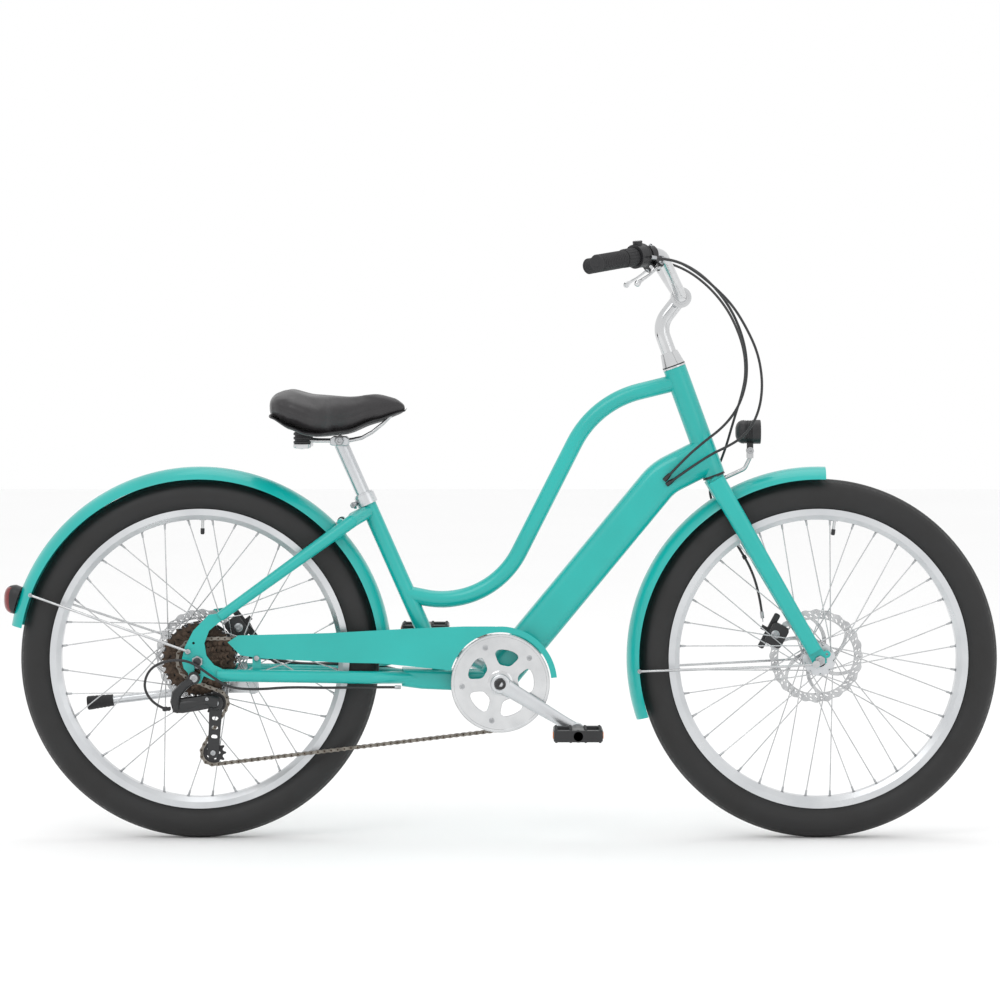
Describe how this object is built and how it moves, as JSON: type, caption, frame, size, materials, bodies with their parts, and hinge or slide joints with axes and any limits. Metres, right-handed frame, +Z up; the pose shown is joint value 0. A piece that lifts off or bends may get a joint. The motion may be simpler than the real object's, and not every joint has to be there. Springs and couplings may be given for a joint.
{
  "type": "electric bicycle",
  "caption": "Step-through electric cruiser bicycle with a battery in its fat down tube, a rear hub motor, chain drive with derailleur, disc brakes, fenders, lights, chain guard and kickstand.",
  "frame": {"origin": "ground contact plane under the middle of the bicycle's bounding box", "axes": "+X forward, +Y to the rider's left, +Z up"},
  "size_m": [1.8989, 0.7036, 1.1361],
  "materials": {
    "black_metal": "satin",
    "black_plastic": "matte",
    "bronze_steel": "satin",
    "cell_wrap": "matte",
    "polished_alloy": "polished",
    "silver_alloy": "satin",
    "soft_rubber": "matte",
    "steel": "satin",
    "teal_paint": "gloss",
    "tyre_rubber": "matte",
    "vinyl": "satin"
  },
  "bodies": {
    "frame": {"head_tube": "teal_paint", "down_tube": "teal_paint", "battery_and_controller": "cell_wrap", "top_tube": "teal_paint", "seat_tube": "teal_paint", "chain_stays": "teal_paint", "seat_stays": "teal_paint", "dropouts": "teal_paint", "seat_clamp": "silver_alloy", "frame_bearings": "black_metal", "rear_fender": "teal_paint", "rear_fender_stays": "black_metal", "tail_light": "black_plastic", "chain_guard": "teal_paint", "chain": "bronze_steel", "rear_axle": "black_metal", "rear_caliper": "black_metal", "kickstand_bracket": "silver_alloy", "derailleur_body": "black_metal", "rear_cables": "black_plastic"},
    "steering": {"fork_crown": "teal_paint", "fork_legs": "teal_paint", "stem": "polished_alloy", "handlebar": "polished_alloy", "grips": "soft_rubber", "bar_controls": "black_metal", "front_fender": "teal_paint", "front_brackets": "black_metal", "front_axle": "black_metal", "front_caliper": "black_metal", "front_brake_cable": "black_plastic", "bar_cables": "black_plastic"},
    "front_wheel": {"front_tyre": "tyre_rubber", "front_rim": "silver_alloy", "front_spokes": "steel", "front_hub": "silver_alloy", "front_rotor": "steel"},
    "rear_wheel": {"rear_tyre": "tyre_rubber", "rear_rim": "silver_alloy", "rear_spokes": "steel", "hub_motor": "silver_alloy", "rear_rotor": "steel"},
    "cassette_body": {"cassette": "bronze_steel"},
    "crankset": {"chainring": "silver_alloy", "crank_arms": "silver_alloy"},
    "pedal_right": {"right_pedal": "black_plastic"},
    "pedal_left": {"left_pedal": "black_plastic"},
    "kickstand": {"kickstand_leg": "silver_alloy"},
    "seat": {"seat_post": "silver_alloy", "saddle": "vinyl", "saddle_frame": "steel"},
    "lever_right": {"right_brake_lever": "silver_alloy"},
    "lever_left": {"left_brake_lever": "silver_alloy"},
    "twist_sleeve": {"twist_shifter": "soft_rubber"},
    "cage": {"derailleur_cage": "black_metal"},
    "upper_pulley": {"guide_pulley": "black_plastic"},
    "lower_pulley": {"tension_pulley": "black_plastic"},
    "lamp": {"headlight": "black_plastic"},
    "front_arm": {"front_brake_arm": "black_metal"},
    "rear_arm": {"rear_brake_arm": "black_metal"}
  },
  "joints": [
    {"name": "steer", "type": "hinge", "parent": "frame", "child": "steering", "pos_m": [0.41347, 0, 0.67636], "axis": [-0.342, 0, 0.9397], "range_deg": [-45, 45], "deforming": ["bar_cables"]},
    {"name": "front_wheel_spin", "type": "hinge", "parent": "steering", "child": "front_wheel", "pos_m": [0.607, 0, 0.3425], "axis": [0, 1, 0], "continuous": true},
    {"name": "rear_wheel_spin", "type": "hinge", "parent": "frame", "child": "rear_wheel", "pos_m": [-0.574, 0, 0.3425], "axis": [0, 1, 0], "continuous": true},
    {"name": "crank_spin", "type": "hinge", "parent": "frame", "child": "crankset", "pos_m": [-0.0001, 0, 0.299], "axis": [0, 1, 0], "continuous": true},
    {"name": "cassette_spin", "type": "hinge", "parent": "frame", "child": "cassette_body", "pos_m": [-0.574, 0, 0.3425], "axis": [0, 1, 0], "continuous": true},
    {"name": "right_pedal_spin", "type": "hinge", "parent": "crankset", "child": "pedal_right", "pos_m": [0.14562, 0, 0.21144], "axis": [0, 1, 0], "continuous": true},
    {"name": "left_pedal_spin", "type": "hinge", "parent": "crankset", "child": "pedal_left", "pos_m": [-0.14582, 0, 0.38656], "axis": [0, 1, 0], "continuous": true},
    {"name": "kickstand_fold", "type": "hinge", "parent": "frame", "child": "kickstand", "pos_m": [-0.4785, 0.08, 0.287], "axis": [0.0522, -0.9036, -0.4251], "range_deg": [0, 100]},
    {"name": "seat_height", "type": "slide", "parent": "frame", "child": "seat", "axis": [-0.4061, 0, 0.9138], "range_m": [-0.06, 0.08]},
    {"name": "right_brake_squeeze", "type": "hinge", "parent": "steering", "child": "lever_right", "pos_m": [0.29389, -0.24075, 1.09051], "axis": [-0.4788, 0.5503, -0.6841], "range_deg": [0, 20], "stiffness_Nm_per_rad": 0.8, "springref_deg": -5.73},
    {"name": "left_brake_squeeze", "type": "hinge", "parent": "steering", "child": "lever_left", "pos_m": [0.29389, 0.24075, 1.09051], "axis": [0.4788, 0.5503, 0.6841], "range_deg": [0, 20], "stiffness_Nm_per_rad": 0.8, "springref_deg": -5.73},
    {"name": "twist_shift", "type": "hinge", "parent": "steering", "child": "twist_sleeve", "pos_m": [0.17664, -0.338, 1.09434], "axis": [0.6712, 0.7317, 0.1188], "range_deg": [-60, 60]},
    {"name": "cage_swing", "type": "hinge", "parent": "frame", "child": "cage", "pos_m": [-0.5403, 0, 0.262], "axis": [0, 1, 0], "range_deg": [-10, 18], "deforming": ["chain"]},
    {"name": "guide_pulley_spin", "type": "hinge", "parent": "cage", "child": "upper_pulley", "pos_m": [-0.5403, 0, 0.262], "axis": [0, 1, 0], "continuous": true},
    {"name": "tension_pulley_spin", "type": "hinge", "parent": "cage", "child": "lower_pulley", "pos_m": [-0.546, 0, 0.1665], "axis": [0, 1, 0], "continuous": true},
    {"name": "lamp_tilt", "type": "hinge", "parent": "steering", "child": "lamp", "pos_m": [0.47741, 0, 0.7388], "axis": [0, 1, 0], "range_deg": [-15, 15]},
    {"name": "front_brake_arm_pull", "type": "hinge", "parent": "steering", "child": "front_arm", "pos_m": [0.52753, 0.04, 0.38475], "axis": [0, 1, 0], "range_deg": [0, 22]},
    {"name": "rear_brake_arm_pull", "type": "hinge", "parent": "frame", "child": "rear_arm", "pos_m": [-0.50308, 0.049, 0.39791], "axis": [0, 1, 0], "range_deg": [0, 22]}
  ],
  "couplings": [
    {"joint": "cassette_spin", "follows": "crank_spin", "ratio": 2.2},
    {"joint": "guide_pulley_spin", "follows": "crank_spin", "ratio": -4},
    {"joint": "tension_pulley_spin", "follows": "crank_spin", "ratio": 4},
    {"joint": "front_brake_arm_pull", "follows": "left_brake_squeeze", "ratio": 1},
    {"joint": "rear_brake_arm_pull", "follows": "right_brake_squeeze", "ratio": 1}
  ]
}
